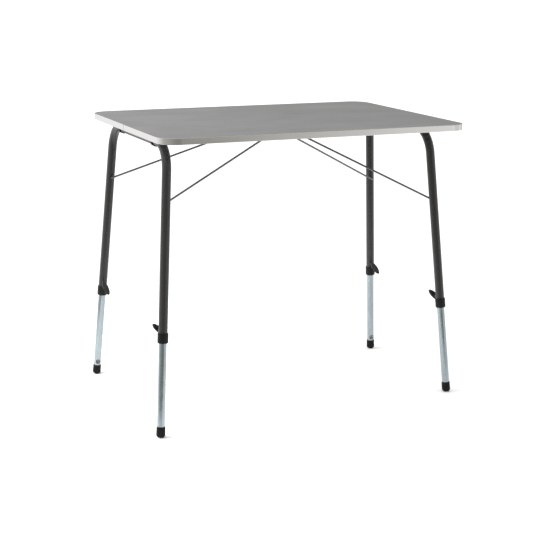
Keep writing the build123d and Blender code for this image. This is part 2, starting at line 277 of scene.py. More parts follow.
def circle(radius, count):
    """Points of a circle, turning from the first axis towards the second."""
    angle = np.linspace(0, 2 * pi, count, endpoint=False)
    return radius * np.stack([np.cos(angle), np.sin(angle)], axis=-1)


def raised(rings, heights):
    """Flat rings of points, each set at its height."""
    heights = np.broadcast_to(np.asarray(heights)[:, None, None], rings.shape[:2] + (1,))
    return np.concatenate([rings, heights], axis=-1)


def lathe(profile, count):
    """Profile (radius, height) turned round the upright axis."""
    profile = np.asarray(profile, float)
    return raised(profile[:, 0, None, None] * circle(1, count), profile[:, 1])


def rod(radius, start, stop, count):
    """Plain cylinder about the upright axis."""
    return lathe([(radius, start), (radius, stop)], count)


def lying(grid):
    """Turn a shape made about the upright axis so that its axis runs inward, along +X."""
    return grid[..., [2, 0, 1]]


def quarter(middle, radius, start, step=ROUND_STEP):
    """Arc of 90 degrees, counter-clockwise from the start angle in degrees, round a middle point."""
    angle = radians(start) + np.linspace(0, pi / 2, ceil(pi / 2 / step) + 1)
    return np.asarray(middle) + radius * np.stack([np.cos(angle), np.sin(angle)], axis=-1)


def shell(grid, ring=False):
    """Quads over a grid whose columns close on themselves; its rows close too, or end in flat caps."""
    rows, columns = grid.shape[:2]
    row = np.arange(rows if ring else rows - 1)[:, None]
    column = np.arange(columns)[None, :]
    after = (row + 1) % rows
    beside = (column + 1) % columns
    near = row * columns
    far = after * columns
    corners = [near + column, near + beside, far + beside, far + column]
    faces = np.stack(corners, axis=-1).reshape(-1, 4).tolist()
    if not ring:
        first = np.arange(columns)
        faces.append(first[::-1].tolist())
        faces.append((first + (rows - 1) * columns).tolist())
    return grid.reshape(-1, 3), faces


def new_mesh(name, shells):
    """One mesh of several closed shells."""
    points = []
    faces = []
    for shell_points, shell_faces in shells:
        start = sum(len(part) for part in points)
        faces += [[start + corner for corner in face] for face in shell_faces]
        points.append(shell_points)
    mesh = bpy.data.meshes.new(name)
    mesh.from_pydata(np.concatenate(points).tolist(), [], faces)
    return mesh


def added(name, data):
    """Object of a mesh, light or camera, added to the scene."""
    made = bpy.data.objects.new(name, data)
    bpy.context.scene.collection.objects.link(made)
    return made


def new_object(name, *shells):
    """Mesh object at the origin."""
    return added(name, new_mesh(name, shells))


def combine(target, operation, *shells):
    """Join shells to an object, or cut them out of it, and keep the result as its mesh."""
    tool = new_object("tool", *shells)
    modifier = target.modifiers.new("combine", "BOOLEAN")
    modifier.operation = operation
    modifier.solver = "EXACT"
    modifier.object = tool
    graph = bpy.context.evaluated_depsgraph_get()
    result = bpy.data.meshes.new_from_object(target.evaluated_get(graph))
    target.modifiers.clear()
    spent = [target.data, tool.data]
    target.data = result
    bpy.data.objects.remove(tool)
    for mesh in spent:
        bpy.data.meshes.remove(mesh)
    result.name = target.name


def move_to_leg(piece, leg):
    """Carry a piece's points from a leg's own axes to the table's frame."""
    points = np.empty(3 * len(piece.data.vertices))
    piece.data.vertices.foreach_get("co", points)
    piece.data.vertices.foreach_set("co", on_leg(leg, points.reshape(-1, 3)).ravel())
    piece.data.update()


def place(piece, material, body, nodes, crease=35):
    """Smooth a piece's faces, give it its finish and body, and let it stand for its nodes."""
    piece.data.shade_smooth()
    piece.data.set_sharp_from_angle(angle=radians(crease))
    piece.data.materials.clear()
    piece.data.materials.append(material)
    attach(piece, body)
    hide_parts(*nodes)


def dress(node, material):
    """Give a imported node's object a finish."""
    for slot in frame["nodes"][node].material_slots:
        slot.material = material


MIX_A = 6
MIX_B = 7
MIX_RESULT = 2


def put(tree, kind, inputs=None, **settings):
    """Add a node with settings; its inputs are values, or sockets that feed it."""
    node = tree.nodes.new(kind)
    for key, value in settings.items():
        setattr(node, key, value)
    for key, value in (inputs or {}).items():
        if isinstance(value, bpy.types.NodeSocket):
            tree.links.new(value, node.inputs[key])
        else:
            node.inputs[key].default_value = value
    return node


def opaque(tint):
    """Colour with full alpha."""
    return (*tint, 1.0)


def new_finish(name, tint, values):
    """Material with its shader's plain values set; returns the material, its nodes and its shader."""
    material = bpy.data.materials.new(name)
    material.use_nodes = True
    tree = material.node_tree
    shader = tree.nodes["Principled BSDF"]
    shader.inputs["Base Color"].default_value = opaque(tint)
    for key, value in values.items():
        shader.inputs[key].default_value = value
    return material, tree, shader


def grain(tree, scale, detail=3.0, roughness=0.55, source="Object"):
    """Noise on the piece's own coordinates, stretched by three scales."""
    where = put(tree, "ShaderNodeTexCoord")
    mapped = put(tree, "ShaderNodeMapping", {"Vector": where.outputs[source], "Scale": scale})
    noise = put(
        tree,
        "ShaderNodeTexNoise",
        {"Vector": mapped.outputs["Vector"], "Scale": 1.0, "Detail": detail, "Roughness": roughness},
    )
    return noise.outputs["Fac"]


def spread(tree, value, low, high, start=0.3, stop=0.7, ease="LINEAR"):
    """Map a value from a range, by default the one that noise mostly fills, to another."""
    ends = {"Value": value, "From Min": start, "From Max": stop, "To Min": low, "To Max": high}
    return put(tree, "ShaderNodeMapRange", ends, interpolation_type=ease).outputs["Result"]


def tinted(tree, factor, dark, light):
    """Colour between two, each plain or a socket, by a factor."""
    ends = [end if isinstance(end, bpy.types.NodeSocket) else opaque(end) for end in (dark, light)]
    inputs = {"Factor": factor, MIX_A: ends[0], MIX_B: ends[1]}
    return put(tree, "ShaderNodeMix", inputs, data_type="RGBA").outputs[MIX_RESULT]


def worked(tree, operation, *values):
    """Result of a sum on values or sockets."""
    return put(tree, "ShaderNodeMath", dict(enumerate(values)), operation=operation).outputs[0]


def scaled(tint, factor):
    """Colour times a factor."""
    return tuple(factor * part for part in tint)


def coloured(tree, shader, factor, dark, light):
    """Let the shader's colour run between two by a factor."""
    tree.links.new(tinted(tree, factor, dark, light), shader.inputs["Base Color"])


def roughened(tree, shader, value, low, high):
    """Let the shader's roughness follow a noise over a range."""
    tree.links.new(spread(tree, value, low, high), shader.inputs["Roughness"])


def bumped(tree, shader, height, depth):
    """Let a height move the shader's normal."""
    bump = put(tree, "ShaderNodeBump", {"Height": height, "Strength": 1.0, "Distance": depth})
    tree.links.new(bump.outputs["Normal"], shader.inputs["Normal"])


def laminate(colours):
    """Grey laminate with fine streaks along the top, and plain foil below."""
    material, tree, shader = new_finish("laminate", colours.laminate_light, {"Specular IOR Level": 0.3})
    fine = grain(tree, (9.0, 620.0, 620.0), detail=5.0, roughness=0.6)
    broad = grain(tree, (2.5, 70.0, 70.0))
    mottle = grain(tree, (7.0, 9.0, 9.0), detail=2.0)
    streak = worked(tree, "ADD", worked(tree, "ADD", fine, broad), mottle)
    tone = spread(tree, streak, 0.0, 1.0, start=1.1, stop=1.9)
    top = tinted(tree, tone, colours.laminate_dark, colours.laminate_light)
    normal = put(tree, "ShaderNodeNewGeometry").outputs["True Normal"]
    upward = put(tree, "ShaderNodeSeparateXYZ", {0: normal}).outputs["Z"]
    faces_up = worked(tree, "GREATER_THAN", upward, 0.5)
    foil = tinted(tree, spread(tree, mottle, 0.0, 0.25), colours.laminate_under, colours.laminate_dark)
    coloured(tree, shader, faces_up, foil, top)
    roughened(tree, shader, fine, 0.38, 0.52)
    bumped(tree, shader, fine, 0.00006)
    return material


def satin_strip(colours):
    """Satin metal, with drawing lines along the strip."""
    material, tree, shader = new_finish("satin_strip", colours.strip, {"Metallic": 1.0})
    lines = grain(tree, (6.0, 2600.0, 1.0), detail=4.0, roughness=0.6, source="UV")
    patches = grain(tree, (9.0, 9.0, 40.0))
    coloured(tree, shader, lines, scaled(colours.strip, 0.86), colours.strip)
    roughened(tree, shader, patches, 0.11, 0.18)
    bumped(tree, shader, lines, 0.000006)
    return material


def enamel(colours):
    """Dark coat with a fine orange-peel grain."""
    material, tree, shader = new_finish("enamel", colours.enamel, {"IOR": 1.5})
    peel = grain(tree, (900.0,) * 3, detail=2.0)
    speck = grain(tree, (2600.0, 2600.0, 1800.0), detail=2.0, roughness=0.7)
    tone = spread(tree, speck, 0.0, 1.0, start=0.42, stop=0.72)
    coloured(tree, shader, tone, colours.enamel, colours.enamel_grain)
    roughened(tree, shader, peel, 0.28, 0.40)
    bumped(tree, shader, peel, 0.00012)
    return material


def grained_plastic(name, base):
    """Plastic with a spark-eroded grain."""
    material, tree, shader = new_finish(name, base, {"Specular IOR Level": 0.22})
    pits = grain(tree, (1700.0,) * 3, roughness=0.6)
    coloured(tree, shader, pits, base, scaled(base, 2.2))
    roughened(tree, shader, pits, 0.42, 0.6)
    bumped(tree, shader, pits, 0.00010)
    return material


def moulded_plastic(colours):
    """Black plastic of the collars, clips and catches."""
    return grained_plastic("moulded_plastic", colours.plastic)


def knob_plastic(colours):
    """Dark grey plastic of the wing knobs."""
    return grained_plastic("knob_plastic", colours.knob)


def zinc_plate(colours):
    """Bluish zinc plate, with draw marks along the tube and dull clouds."""
    material, tree, shader = new_finish("zinc_plate", colours.zinc_light, {"Metallic": 1.0})
    marks = grain(tree, (420.0, 420.0, 9.0), detail=4.0, roughness=0.65)
    clouds = grain(tree, (60.0, 60.0, 22.0), detail=4.0, roughness=0.6)
    tone = spread(tree, worked(tree, "ADD", marks, clouds), 0.0, 1.0, start=0.75, stop=1.2)
    coloured(tree, shader, tone, colours.zinc_dark, colours.zinc_light)
    roughened(tree, shader, clouds, 0.23, 0.32)
    bumped(tree, shader, marks, 0.000012)
    return material


def painted_light_bore(colours):
    """Near-white dull finish inside a tube, with clouds in its sheen: painted light, standing in for light
    reaching into the shaded bore.
    """
    material, tree, shader = new_finish("painted_light_bore", colours.bore, {"Specular IOR Level": 0.8})
    clouds = grain(tree, (60.0,) * 3, detail=2.0)
    roughened(tree, shader, clouds, 0.25, 0.4)
    return material


def stay_wire(colours):
    """Dull plated wire with a drawn grain."""
    material, tree, shader = new_finish("stay_wire", colours.wire, {"Metallic": 1.0})
    marks = grain(tree, (160.0, 900.0, 900.0))
    coloured(tree, shader, marks, colours.wire, scaled(colours.wire, 1.5))
    roughened(tree, shader, marks, 0.26, 0.4)
    return material


def foot_rubber(colours):
    """Matte black rubber with fine pits."""
    material, tree, shader = new_finish("foot_rubber", colours.rubber, {"Specular IOR Level": 0.16})
    pits = grain(tree, (1300.0,) * 3)
    coloured(tree, shader, pits, colours.rubber, scaled(colours.rubber, 3.0))
    roughened(tree, shader, pits, 0.55, 0.72)
    bumped(tree, shader, pits, 0.00012)
    return material


def turned_brass(colours):
    """Brass with turning marks."""
    material, tree, shader = new_finish("turned_brass", colours.brass, {"Metallic": 1.0})
    marks = grain(tree, (1200.0,) * 3, detail=2.0)
    roughened(tree, shader, marks, 0.22, 0.38)
    return material


FINISHES = {}


def finish(make, colours):
    """A finish by the function that makes it, made once."""
    if make not in FINISHES:
        FINISHES[make] = make(colours)
    return FINISHES[make]


BOW_POWER = 48


def strip_section(sizes, height):
    """Edge strip's outline (outward, up): a bowed face, a flat back and a tongue.

    At a share u of the half height the face lies in by the thickness times 1 - sqrt(1 - u^BOW_POWER).
    """
    half = height / 2
    sweep = np.linspace(pi / 2, -pi / 2, STRIP_ROWS)
    rise = np.sin(sweep)
    face = np.stack([sizes.strip_thickness * (np.sqrt(1 - rise ** BOW_POWER) - 1), half * rise], axis=-1)
    back = -sizes.strip_thickness
    tip = back - sizes.tongue_depth
    tongue = sizes.tongue_thickness / 2
    inside = np.array([(back, -tongue), (tip, -tongue), (tip, tongue), (back, tongue)])
    return np.concatenate([face, inside])


def build_edge(sizes, colours):
    """Strip's section carried round the top's outline, counter-clockwise from its seam on the left side."""
    low, high = node_box("edge_profile")
    seam = sizes.seam_width / 2
    level = (low[2] + high[2]) / 2
    corners = [
        (low[0], -seam, level),
        (low[0], low[1], level),
        (high[0], low[1], level),
        (high[0], high[1], level),
        (low[0], high[1], level),
        (low[0], seam, level),
    ]
    places, headings = rounded_line(corners, [sizes.corner_radius] * 4, BEND_STEP)
    section = strip_section(sizes, high[2] - low[2])
    chamfer = sizes.seam_chamfer
    places, headings = shouldered(places, headings, chamfer)
    sections = np.repeat(section[None], len(places), axis=0)
    drawn_in = np.maximum(section[:, 0] - chamfer, -sizes.strip_thickness)
    sections[[0, -1], :, 0] = np.where(section[:, 0] > -sizes.strip_thickness, drawn_in, section[:, 0])
    grid = carried(places, headings, -UP, sections * (1, -1))
    strip = new_object("edge_strip", shell(grid))
    chart = np.stack(np.meshgrid(run_of(places), run_of(section), indexing="ij"), axis=-1).reshape(-1, 2)
    corner_of = np.empty(len(strip.data.loops), dtype=np.int64)
    strip.data.loops.foreach_get("vertex_index", corner_of)
    layer = strip.data.uv_layers.new(name="along_strip")
    layer.data.foreach_set("uv", chart[corner_of].ravel())
    place(strip, finish(satin_strip, colours), "tabletop", ["edge_profile"])


def stay_pin(side, end):
    """Where a stay's pin line crosses a leg's axis."""
    return leg_at_height(f"{side}_{end}", JOINTS[f"{side}_brace_swing"]["pos_m"][2])


def build_leg_frame(side, sizes, colours):
    """Tube's ring carried along a U, out along its outside and back along its bore."""
    ends = []
    bends = []
    for end in ENDS:
        leg = f"{side}_{end}"
        collar_low, _ = node_span(leg, f"{leg}_collar")
        ends.append(on_leg(leg, np.array([0, 0, collar_low[2] + sizes.collar_lip + sizes.fit])))
        bends.append(leg_at_height(leg, JOINTS[f"{side}_fold"]["pos_m"][2]))
    line = [ends[0], bends[0], bends[1], ends[1]]
    places, headings = rounded_line(line, [sizes.bend_radius] * 2, BEND_STEP)
    binormal = unit(np.cross(bends[0] - ends[0], bends[1] - bends[0]))
    outside = carried(places, headings, binormal, circle(sizes.tube_radius, FRAME_SIDES))
    bore = carried(places, headings, binormal, circle(sizes.tube_radius - sizes.tube_wall, FRAME_SIDES))
    tube = new_object(f"{side}_frame_tube", shell(np.concatenate([outside, bore[::-1]]), ring=True))
    drill = rod(sizes.wire_radius + sizes.fit, 0, 2 * sizes.tube_radius, PIN_SIDES)
    for end, sy in ENDS.items():
        hole = np.stack([sy * drill[..., 0], -sy * drill[..., 2], drill[..., 1]], axis=-1)
        combine(tube, "DIFFERENCE", shell(stay_pin(side, end) + hole))
    place(tube, finish(enamel, colours), f"{side}_legs", [f"{side}_leg_frame"])


def build_clip(leg, sizes, colours):
    """Rounded strip carried along a hat-shaped line: flange, ring under the bar, flange."""
    node = f"{leg}_pivot_clip"
    low, high = node_box(node)
    middle = (low + high) / 2
    half_sheet = sizes.strap_thickness / 2
    ring = (high[0] - low[0]) / 2 - sizes.strap_flange - half_sheet
    top = high[2] - half_sheet
    bottom = low[2] + half_sheet
    span = (high[0] - low[0]) / 2
    across = [-span, -ring, -ring, ring, ring, span]
    heights = [top, top, bottom, bottom, top, top]
    line = [(middle[0] + x, middle[1], z) for x, z in zip(across, heights)]
    bend = sizes.strap_bend + half_sheet
    places, headings = rounded_line(line, [bend, ring, ring, bend], STRAP_STEP)
    corner = half_sheet / 2
    thick = half_sheet - corner
    wide = sizes.strap_width / 2 - corner
    corners = [(thick, wide), (-thick, wide), (-thick, -wide), (thick, -wide)]
    section = np.concatenate([quarter(at, corner, 90 * turn) for turn, at in enumerate(corners)])
    strap = new_object(f"{leg}_clip_strap", shell(carried(places, headings, BACK, section)))
    reach = sizes.strap_flange / 2
    bit = rod(sizes.screw_shank_radius + sizes.fit, -reach, reach, PILOT_SIDES)
    for sx in SIDES.values():
        at = np.array([middle[0] + sx * (span - reach), middle[1], top])
        combine(strap, "DIFFERENCE", shell(at + bit))
    place(strap, finish(moulded_plastic, colours), "tabletop", [node])


DOME_START = 0.02
CROSS_WIDTH = (0.24, 0.10)
CROSS_LENGTH = (0.62, 0.16)
CROSS_DEPTH = 0.55


def screw_shape(sizes, seat):
    """Round head with a cross recess and a plain shank, turned about the upright axis, head down.

    The dome is an ellipse's quarter; the recess lifts it where a point lies in either bar of a cross, whose
    half width and half length, each with the run of its slope, are shares of the head's radius.
    """
    swing = np.linspace(DOME_START, pi / 2, DOME_ROWS)
    dome = np.stack([
        sizes.screw_head_radius * np.sin(swing),
        -seat - sizes.screw_head_height * np.cos(swing),
    ], axis=-1)
    shank = [
        (sizes.screw_shank_radius, -seat),
        (sizes.screw_shank_radius, sizes.screw_depth - sizes.screw_shank_radius),
        (sizes.screw_shank_radius / SHANK_TIP_PART, sizes.screw_depth),
    ]
    grid = lathe(np.concatenate([dome, shank]), SCREW_SIDES)
    flat = np.abs(grid[..., :2]) / sizes.screw_head_radius
    bar_width = np.clip((CROSS_WIDTH[0] - flat.min(axis=-1)) / CROSS_WIDTH[1], 0, 1)
    bar_length = np.clip((CROSS_LENGTH[0] - flat.max(axis=-1)) / CROSS_LENGTH[1], 0, 1)
    head = grid[..., 2] < -seat
    grid[..., 2] += head * CROSS_DEPTH * sizes.screw_head_height * bar_width * bar_length
    return grid


def build_screws(sizes, colours):
    """Screws of the pivot clips and of the stay catches, as two groups."""
    clips = [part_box(f"{leg}_pivot_clip") for leg in LEGS]
    reach = sizes.strap_flange / 2
    clip_points = [
        (x, (low.y + high.y) / 2, high.z) for low, high in clips for x in (low.x + reach, high.x - reach)
    ]
    low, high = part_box("stay_catch_screws")
    catch_y = high.y - sizes.screw_head_radius
    catches = [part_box(f"{side}_stay_catch") for side in SIDES]
    catch_points = [
        ((low.x + high.x) / 2, sy * catch_y, high.z) for low, high in catches for sy in ENDS.values()
    ]
    groups = {
        "pivot_clip_screws": (clip_points, sizes.strap_thickness),
        "stay_catch_screws": (catch_points, sizes.catch_base),
    }
    for node, (points, seat) in groups.items():
        grid = screw_shape(sizes, seat)
        heads = new_object(f"{node}_crossed", *[shell(np.array(point) + grid) for point in points])
        place(heads, finish(zinc_plate, colours), "tabletop", [node])


def build_stay(side, sizes, colours):
    """Wire's circle carried along pins, arms and cross bar, drawn in at both ends by a chamfer."""
    sx = SIDES[side]
    low, high = node_box(f"{side}_stay")
    bar_x = (high[0] - sizes.wire_radius) if sx < 0 else (low[0] + sizes.wire_radius)
    bar_z = high[2] - sizes.wire_radius
    bar_half = sizes.left_bar_half if sx < 0 else sizes.right_bar_half
    pins = [stay_pin(side, end) for end in ENDS]
    tips = [np.array([pin[0], y, pin[2]]) for pin, y in zip(pins, (low[1], high[1]))]
    inset = np.array([0, sizes.tube_radius + sizes.stay_standoff, 0])
    turns = [pin - sy * inset for pin, sy in zip(pins, ENDS.values())]
    bars = [np.array([bar_x, sy * bar_half, bar_z]) for sy in ENDS.values()]
    line = [tips[0], turns[0], bars[0], bars[1], turns[1], tips[1]]
    radii = [sizes.wire_end_bend, sizes.wire_bar_bend, sizes.wire_bar_bend, sizes.wire_end_bend]
    places, headings = rounded_line(line, radii, WIRE_STEP)
    chamfer = sizes.wire_radius / WIRE_CHAMFER_PART
    places, headings = shouldered(places, headings, chamfer)
    binormal = unit(np.cross(bars[0] - turns[0], bars[1] - bars[0]))
    thickness = np.full(len(places), sizes.wire_radius)
    thickness[[0, -1]] -= chamfer
    rings = thickness[:, None, None] * circle(1, WIRE_SIDES)
    wire = carried(places, headings, binormal, rings)
    rod = new_object(f"{side}_stay_wire", shell(wire))
    place(rod, finish(stay_wire, colours), f"{side}_brace", [f"{side}_stay"])


def build_collar(leg, sizes, colours):
    """Turned ring and boss joined, then bored for the tube, the inner leg and the threaded sleeve."""
    node = f"{leg}_collar"
    points = node_points(leg, node)
    outside = points[:, 1].max()
    bottom = points[:, 2].min()
    boss_end = points[:, 0].max()
    round_low = sizes.collar_round
    round_top = sizes.collar_top_round
    on_back = points[points[:, 0] < 0]
    top = on_back[:, 2].max()
    ring_profile = np.concatenate([
        quarter((outside - round_low, bottom + round_low), round_low, 270),
        quarter((outside - round_top, top - round_top), round_top, 0),
    ])
    collar = new_object(f"{leg}_clamp_collar", shell(lathe(ring_profile, COLLAR_SIDES)))
    rim = round_top / 2
    boss = np.concatenate([
        [(sizes.boss_radius, 0)],
        quarter((sizes.boss_radius - rim, boss_end - rim), rim, 0),
    ])
    combine(collar, "UNION", shell(lying(lathe(boss, BOSS_SIDES))))
    tube_bore = sizes.tube_radius + sizes.fit
    leg_bore = node_span(leg, f"{leg}_inner_leg")[1][1] + sizes.slide_fit
    lip = bottom + sizes.collar_lip
    far = 2 * sizes.boss_radius
    bore = [(leg_bore, bottom - far), (leg_bore, lip), (tube_bore, lip), (tube_bore, far)]
    combine(collar, "DIFFERENCE", shell(lathe(bore, COLLAR_SIDES)))
    socket = rod(sizes.insert_radius + sizes.fit, 0, 2 * boss_end, BORE_SIDES)
    combine(collar, "DIFFERENCE", shell(lying(socket)))
    move_to_leg(collar, leg)
    side = leg.split("_")[0]
    place(collar, finish(moulded_plastic, colours), f"{side}_legs", [node])


def hexagon(flats, count):
    """Radius of a hexagon at even turns: half its flats over the cosine from the nearest flat."""
    turn = np.linspace(0, 2 * pi, count, endpoint=False)
    return flats / 2 / np.cos(turn % (pi / 3) - pi / 6)


THREAD_DEPTH = 0.6
THREAD_FLATS = 0.125
TIP_RUN = 1.2


def screw_grid(sizes, tip, head_start, head_end):
    """Clamp screw about the upright axis: a ridge of one turn per pitch, then a hexagon head.

    The thread's radius is a triangle wave of height over pitch less the turn, cut flat at crest and root. Its
    depth and the tip's taper are given in pitches.
    """
    turn = np.linspace(0, 2 * pi, THREAD_SIDES, endpoint=False)[None, :]
    height = np.arange(tip, head_start, sizes.clamp_pitch / THREAD_ROWS)[:, None]
    wave = np.abs(((height / sizes.clamp_pitch - turn / (2 * pi)) % 1) * 2 - 1)
    depth = THREAD_DEPTH * sizes.clamp_pitch
    radius = sizes.clamp_radius - depth * np.clip((1 + 2 * THREAD_FLATS) * wave - THREAD_FLATS, 0, 1)
    taper = np.clip((height - tip) / (TIP_RUN * sizes.clamp_pitch), 0, 1)
    radius = np.minimum(radius, sizes.clamp_radius - depth * TIP_RUN * (1 - taper))
    six = hexagon(sizes.clamp_head_flats, THREAD_SIDES)
    chamfer = sizes.clamp_head_height / HEAD_CHAMFER_PART
    round_top = np.minimum(six, sizes.clamp_head_flats / 2)
    head = np.stack([six, six, round_top])
    head_height = np.array([head_start, head_end - chamfer, head_end])[:, None]
    radius = np.concatenate([radius, head])
    height = np.concatenate([height, head_height])
    return np.stack(
        np.broadcast_arrays(radius * np.cos(turn), radius * np.sin(turn), height), axis=-1
    )


def build_clamp(leg, sizes, colours):
    """Threaded screw and its wing knob: an oval plate with a hub behind, moulded round the screw's head.

    The oval (a cos t, b sin t) is drawn in along its normal (cos t / a, sin t / b) by quarter rounds.
    """
    screw_low, screw_high = node_span(leg, f"{leg}_clamp_screw")
    head_end = screw_high[0]
    head_start = head_end - sizes.clamp_head_height
    screw = new_object(
        f"{leg}_clamp_thread",
        shell(on_leg(leg, lying(screw_grid(sizes, screw_low[0], head_start, head_end)))),
    )
    place(screw, finish(zinc_plate, colours), f"{leg}_clamp", [f"{leg}_clamp_screw"], crease=25)

    node = f"{leg}_wing_knob"
    points = node_points(leg, node)
    flat = points[:, 1:] - points[:, 1:].mean(axis=0)
    long_axis = np.linalg.svd(flat, full_matrices=False)[2][0]
    wide_axis = np.array([-long_axis[1], long_axis[0]])
    front = points[:, 0].max()
    hub_start = points[:, 0].min()
    back = front - sizes.knob_thickness
    edge = sizes.knob_round
    rounds = np.concatenate([
        quarter((-edge, back + edge), edge, 270),
        quarter((-edge, front - edge), edge, 0),
    ])
    ring = circle(1, OVAL_SIDES)
    halves = np.array([sizes.knob_half_length, sizes.knob_half_width])
    slope = ring / halves
    normal = slope / np.linalg.norm(slope, axis=1, keepdims=True)
    oval = ring * halves + rounds[:, 0, None, None] * normal
    sides = oval @ np.stack([long_axis, wide_axis])
    knob = new_object(f"{leg}_knob_wing", shell(lying(raised(sides, rounds[:, 1]))))
    rim = sizes.knob_round / HUB_RIM_PART
    hub = np.concatenate([
        quarter((sizes.hub_radius - rim, hub_start + rim), rim, 270),
        [(sizes.hub_radius, (back + front) / 2)],
    ])
    combine(knob, "UNION", shell(lying(lathe(hub, HUB_SIDES))))
    bore = rod(sizes.clamp_radius + sizes.fit, 0, head_start, PIN_SIDES)
    combine(knob, "DIFFERENCE", shell(lying(bore)))
    six = hexagon(sizes.clamp_head_flats + 2 * sizes.fit, THREAD_SIDES)[:, None] * circle(1, THREAD_SIDES)
    prism = raised(np.stack([six, six]), [head_start - sizes.fit, head_end + sizes.fit])
    combine(knob, "DIFFERENCE", shell(lying(prism)))
    move_to_leg(knob, leg)
    place(knob, finish(knob_plastic, colours), f"{leg}_clamp", [node])


def build_inner_leg(leg, sizes, colours):
    """Turned tube, drilled through its inner face near the foot, with a near-white finish in its bore as
    painted light inside the hole.
    """
    node = f"{leg}_inner_leg"
    low, high = node_span(leg, node)
    outside = high[1]
    bore = outside - sizes.inner_wall
    section = [(outside, low[2]), (outside, high[2]), (bore, high[2]), (bore, low[2])]
    tube = new_object(f"{leg}_zinc_tube", shell(lathe(section, LEG_SIDES), ring=True))
    _, foot_high = node_span(leg, f"{leg}_foot")
    drill = rod(sizes.inner_hole_radius, 0, 2 * outside, BORE_SIDES)
    at = np.array([0, 0, foot_high[2] + sizes.inner_hole_rise])
    combine(tube, "DIFFERENCE", shell(at + lying(drill)))
    middles = np.empty(3 * len(tube.data.polygons))
    tube.data.polygons.foreach_get("center", middles)
    inside = np.hypot(*middles.reshape(-1, 3)[:, :2].T) < bore + sizes.fit
    move_to_leg(tube, leg)
    place(tube, finish(zinc_plate, colours), f"{leg}_lower_leg", [node])
    # The bore's faces get the near-white painted-light finish.
    tube.data.materials.append(finish(painted_light_bore, colours))
    tube.data.polygons.foreach_set("material_index", inside.astype(np.int32))


def build_foot(leg, sizes, colours):
    """Turned cap: a round base, sides drawn in a little towards the top, and a socket for the leg."""
    node = f"{leg}_foot"
    low, high = node_span(leg, node)
    outside = high[1]
    socket = node_span(leg, f"{leg}_inner_leg")[1][1] + sizes.fit
    top = high[2]
    bottom = low[2]
    rim = (outside - sizes.foot_taper - socket) / FOOT_RIM_PART
    hub = outside / FOOT_HUB_PART
    profile = np.concatenate([
        [(hub, bottom)],
        quarter((outside - sizes.foot_round, bottom + sizes.foot_round), sizes.foot_round, 270, DOME_STEP),
        quarter((outside - sizes.foot_taper - rim, top - rim), rim, 0),
        quarter((socket + rim, top - rim), rim, 90),
        [(socket, bottom + sizes.foot_floor), (hub, bottom + sizes.foot_floor)],
    ])
    cap = new_object(f"{leg}_rubber_foot", shell(on_leg(leg, lathe(profile, LEG_SIDES))))
    place(cap, finish(foot_rubber, colours), f"{leg}_lower_leg", [node])


CAMERA_AT = (-1.375155, -3.244656, 1.125083)
CAMERA_YAW = 0.398791
CAMERA_PITCH = 0.225758
CAMERA_ROLL = 0.004677
CAMERA_LENS = 91.81
CAMERA_REACH = 100
FLOOR_AT = (0.1, 0.25)
FLOOR_RADIUS = 1.0
LAMP_AT = (-1.6, 0.3, 1.5)
LAMP_TOWARDS = (-0.2, 0, 0.6)
LAMP_SIZE = 1.5
LAMP_POWER = 46
SKY_LEFT = 1.35
SKY_RIGHT = 1.22
ROOM_BACK = 0.6
# Turns in degrees from straight in front, and the room's levels there.
EYE_LEVELS = (
    (-165, 0.9), (-148, 0.93), (-125, 0.8), (-105, 0.6), (-85, 0.42), (-54, 0.36), (-18, 0.26),
    (18, 0.26), (21, 0.42), (25, 0.54), (30, 0.74), (34, 0.86), (44, 0.75), (60, 0.65),
    (78, 0.7), (95, 0.9), (140, 0.3), (168, 0.3),
)
LOW_LEVELS = (
    (-165, 0.86), (-145, 0.9), (-125, 0.92), (-100, 0.6), (-73, 0.34), (-33, 0.19), (0, 0.18),
    (15, 0.18), (18.5, 0.24), (20, 0.4), (22, 0.5), (25, 0.6), (28.5, 0.74), (30, 0.86),
    (31, 1.04), (36, 1.2), (60, 1.0), (100, 0.9), (165, 0.6),
)
ROOM_WARMTH = (0.97, 1.0, 1.06)
ROOM_LOW = (radians(-12), radians(-9))
ROOM_TOP = (radians(38), radians(14))
FLAG_TURN = (radians(24), radians(18))
CEILING = (radians(24), radians(48))
CEILING_LEVEL = 0.4


def ramp_of(tree, share, levels):
    """Level of the room by turn, as a share of a full turn from the back."""
    ramp = put(tree, "ShaderNodeValToRGB", {"Fac": share})
    stops = ramp.color_ramp.elements
    stops[0].color = stops[1].color = opaque((ROOM_BACK,) * 3)
    for angle, grey in levels:
        stop = stops.new(0.5 + angle / 360)
        stop.color = opaque(tuple(grey ** part for part in ROOM_WARMTH))
    return ramp.outputs["Color"]


def between(tree, value, start, stop):
    """Smooth step of a value between two, from nought to one."""
    return spread(tree, value, 0.0, 1.0, start, stop, "SMOOTHSTEP")


